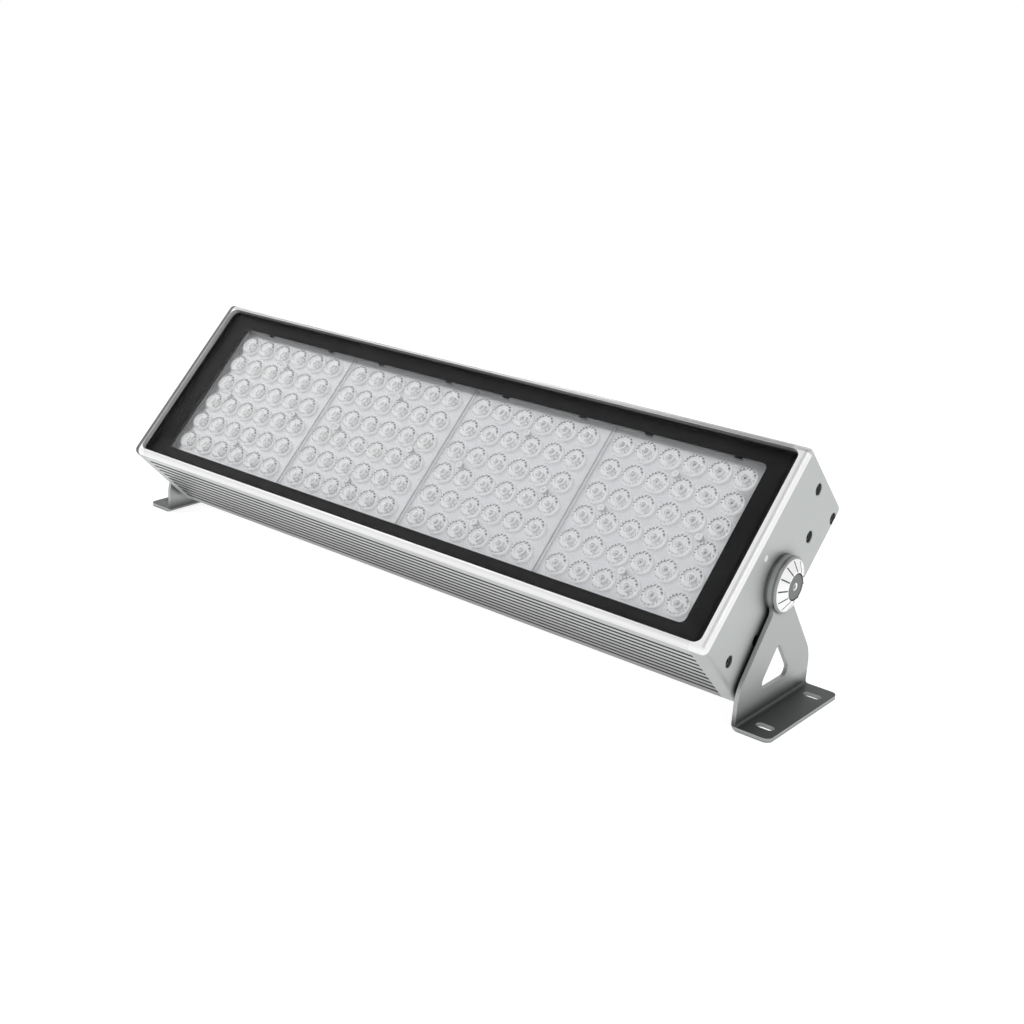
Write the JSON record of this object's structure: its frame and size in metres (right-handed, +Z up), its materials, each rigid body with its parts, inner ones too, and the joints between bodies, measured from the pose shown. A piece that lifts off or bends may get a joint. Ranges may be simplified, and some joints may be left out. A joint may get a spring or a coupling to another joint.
{
  "type": "outdoor wall washer light",
  "caption": "Long LED wall washer with a ribbed aluminium body, a flush glass front over lens modules, and two bent brackets with tilt dials.",
  "frame": {"origin": "centre of the four mounting slots, on the underside of the feet", "axes": "+X along the lamp, +Z up from the mounting surface; the lamp faces -Y, tilted up 45 degrees"},
  "size_m": [0.6352, 0.1655, 0.1787],
  "materials": {
    "anodised_aluminium": "brushed and clear anodised extrusion",
    "cast_aluminium": "fine silver powder coat over cast aluminium",
    "bracket_steel": "bead-blasted stainless sheet, satin",
    "turned_aluminium": "turned and clear anodised",
    "dark_steel": "dull dark zinc plating",
    "plain_steel": "plain stainless",
    "toughened_glass": "clear, low iron, polished",
    "black_print": "black ceramic print, seen through the glass",
    "seal_rubber": "matt silicone",
    "clear_optic": "clear moulded optic",
    "white_board": "white solder resist over aluminium core",
    "led_phosphor": "yellow phosphor",
    "pad_silicone": "soft heat-conducting pad",
    "connector_plastic": "moulded, matt",
    "lead_white": "insulated wire",
    "lead_brown": "insulated wire",
    "lead_earth": "green and yellow insulated wire",
    "driver_case": "plain satin case, potted",
    "terminal_plastic": "moulded, matt",
    "nickel_brass": "nickel plated",
    "brass_plain": "plain brass",
    "black_plastic": "moulded, matt",
    "white_mark": "white paint-filled dot"
  },
  "bodies": {
    "root": {"bracket_left": "bracket_steel", "bracket_right": "bracket_steel", "tilt_dial_left": "turned_aluminium", "tilt_dial_right": "turned_aluminium"},
    "head": {"housing_extrusion": "anodised_aluminium", "end_cap_left": "cast_aluminium", "end_cap_right": "cast_aluminium", "end_gasket_left": "seal_rubber", "end_gasket_right": "seal_rubber", "cap_screws_left": "dark_steel", "cap_screws_right": "dark_steel", "front_glass": "toughened_glass", "glass_border": "black_print", "glass_gasket": "seal_rubber", "glass_sealant": "seal_rubber", "lens_module_1": "clear_optic", "lens_module_2": "clear_optic", "lens_module_3": "clear_optic", "lens_module_4": "clear_optic", "led_board_1": "white_board", "led_board_2": "white_board", "led_board_3": "white_board", "led_board_4": "white_board", "led_chips_1": "led_phosphor", "led_chips_2": "led_phosphor", "led_chips_3": "led_phosphor", "led_chips_4": "led_phosphor", "thermal_pads": "pad_silicone", "module_screws": "plain_steel", "board_connectors": "connector_plastic", "board_jumpers": "lead_white", "led_driver": "driver_case", "driver_screws": "plain_steel", "output_leads": "lead_white", "web_grommet": "seal_rubber", "terminal_block": "terminal_plastic", "input_leads": "lead_brown", "earth_screw": "brass_plain", "earth_lead": "lead_earth", "gland_body": "nickel_brass", "gland_washer": "seal_rubber", "gland_locknut": "nickel_brass", "gland_seal": "seal_rubber", "gland_nut": "nickel_brass", "breather_plug": "black_plastic", "breather_ring": "seal_rubber", "index_dot_left": "white_mark", "index_dot_right": "white_mark", "pivot_insert_left": "plain_steel", "pivot_insert_right": "plain_steel", "base_ring_left": "turned_aluminium", "base_ring_right": "turned_aluminium"},
    "spring_washer_left": {"spring_washer_left": "plain_steel"},
    "spring_washer_right": {"spring_washer_right": "plain_steel"},
    "lock_bolt_left": {"lock_bolt_left": "dark_steel"},
    "lock_bolt_right": {"lock_bolt_right": "dark_steel"}
  },
  "joints": [
    {"name": "head_tilt", "type": "hinge", "parent": "root", "child": "head", "pos_m": [0, 0, 0.09126], "axis": [1, 0, 0], "range_deg": [-135, 45]},
    {"name": "bolt_turn_right", "type": "hinge", "parent": "spring_washer_right", "child": "lock_bolt_right", "pos_m": [0, 0, 0.09126], "axis": [1, 0, 0], "range_deg": [0, 360]},
    {"name": "washer_slide_right", "type": "slide", "parent": "head", "child": "spring_washer_right", "axis": [1, 0, 0], "range_m": [0, 0.0013]},
    {"name": "bolt_turn_left", "type": "hinge", "parent": "spring_washer_left", "child": "lock_bolt_left", "pos_m": [0, 0, 0.09126], "axis": [-1, 0, 0], "range_deg": [0, 360]},
    {"name": "washer_slide_left", "type": "slide", "parent": "head", "child": "spring_washer_left", "axis": [-1, 0, 0], "range_m": [0, 0.0013]}
  ],
  "couplings": [
    {"joint": "washer_slide_right", "follows": "bolt_turn_right", "m_per_rad": 0.00019894},
    {"joint": "washer_slide_left", "follows": "bolt_turn_left", "m_per_rad": 0.00019894}
  ]
}
